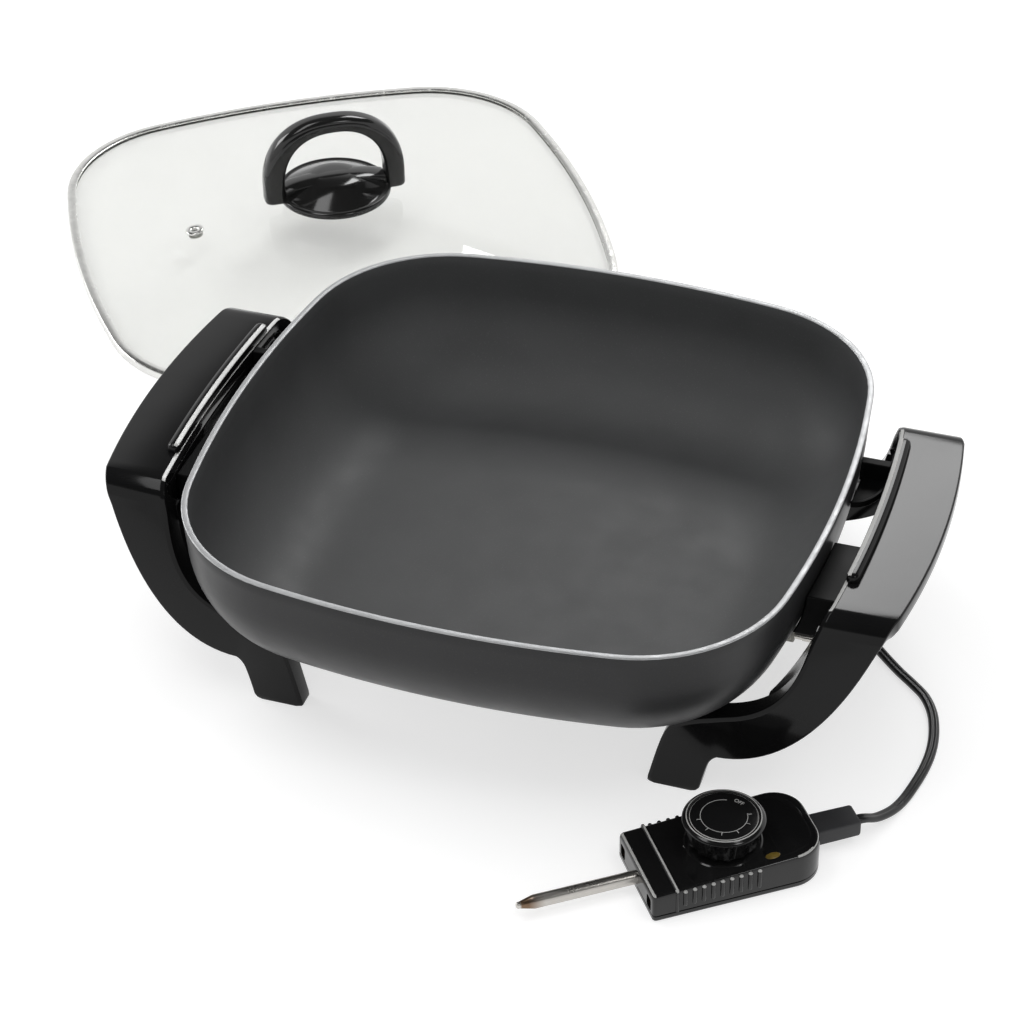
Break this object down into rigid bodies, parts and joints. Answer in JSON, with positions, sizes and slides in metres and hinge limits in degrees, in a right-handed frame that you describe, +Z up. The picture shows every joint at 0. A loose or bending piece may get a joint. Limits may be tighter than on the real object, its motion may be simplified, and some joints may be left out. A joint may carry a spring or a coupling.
{
  "type": "electric skillet",
  "caption": "Square non-stick electric skillet on two leg handles, with a loose domed glass lid beside it and an unplugged probe control whose dial turns, its flat cord coiled to a plug.",
  "frame": {"origin": "on the surface the skillet stands on, under the centre of the pan and between the four feet", "axes": "+X towards the handle over the control socket, -Y towards the front, +Z up"},
  "size_m": [0.5674, 0.6366, 0.1015],
  "materials": {
    "nonstick": "matte dark non-stick coating with a bare machined rim",
    "element_steel": "heat-darkened steel sheath",
    "plain_steel": "plain zinc or stainless steel",
    "ceramic": "unglazed white ceramic",
    "handle_black": "black heat-resistant plastic, smooth and glossy",
    "gloss_black": "high-gloss black plastic",
    "lid_glass": "clear tempered glass",
    "lid_steel": "bright rolled stainless steel",
    "seal_rubber": "matte silicone rubber",
    "probe_steel": "satin stainless steel, lightly heat-tinted at its tip",
    "brass": "plain brass",
    "amber_lens": "clear amber plastic",
    "lamp_bulb": "small neon bulb",
    "wire_cover": "braided glass-fibre sleeve",
    "cord_black": "black vinyl, satin",
    "dial_face": "black with a fine pale scale"
  },
  "bodies": {
    "skillet": {"pan": "nonstick", "heating_element": "element_steel", "element_clips": "plain_steel", "terminal_pins": "plain_steel", "terminal_insulators": "ceramic", "probe_well": "plain_steel", "socket_guard": "handle_black", "handle_right": "handle_black", "handle_left": "handle_black", "handle_liner_right": "handle_black", "handle_liner_left": "handle_black", "grip_bead_right": "gloss_black", "grip_bead_left": "gloss_black", "front_bracket_right": "handle_black", "front_bracket_left": "handle_black", "rear_bracket_right": "handle_black", "rear_bracket_left": "handle_black", "handle_screws": "plain_steel"},
    "lid": {"lid_glass": "lid_glass", "lid_rim": "lid_steel", "vent_grommet": "plain_steel", "knob_arch": "gloss_black", "knob_base": "gloss_black", "knob_gasket": "seal_rubber", "knob_screw": "plain_steel"},
    "control": {"control_top": "gloss_black", "control_base": "gloss_black", "probe_tube": "probe_steel", "probe_ferrule": "plain_steel", "contact_sleeves": "brass", "thermostat_frame": "plain_steel", "contact_blades": "brass", "ceramic_spacers": "ceramic", "lamp_lens": "amber_lens", "neon_lamp": "lamp_bulb", "internal_wires": "wire_cover", "cord_clamp": "cord_black", "housing_screws": "plain_steel", "strain_relief": "cord_black", "cord_free": "cord_black", "cord_coil": "cord_black", "coil_tie": "cord_black", "plug_body": "cord_black", "plug_blades": "brass"},
    "dial": {"dial_knob": "gloss_black", "dial_cap": "dial_face", "adjusting_shaft": "plain_steel"}
  },
  "joints": [
    {"name": "lid_lift", "type": "slide", "parent": "skillet", "child": "lid", "axis": [0, 0, 1], "range_m": [0, 0.12]},
    {"name": "control_pull", "type": "slide", "parent": "skillet", "child": "control", "axis": [0.8018, 0.5976, 0], "range_m": [0, 0.06]},
    {"name": "dial_turn", "type": "hinge", "parent": "control", "child": "dial", "pos_m": [0.12471, -0.13411, 0.017], "axis": [0, 0, 1], "range_deg": [-167, 147]}
  ]
}
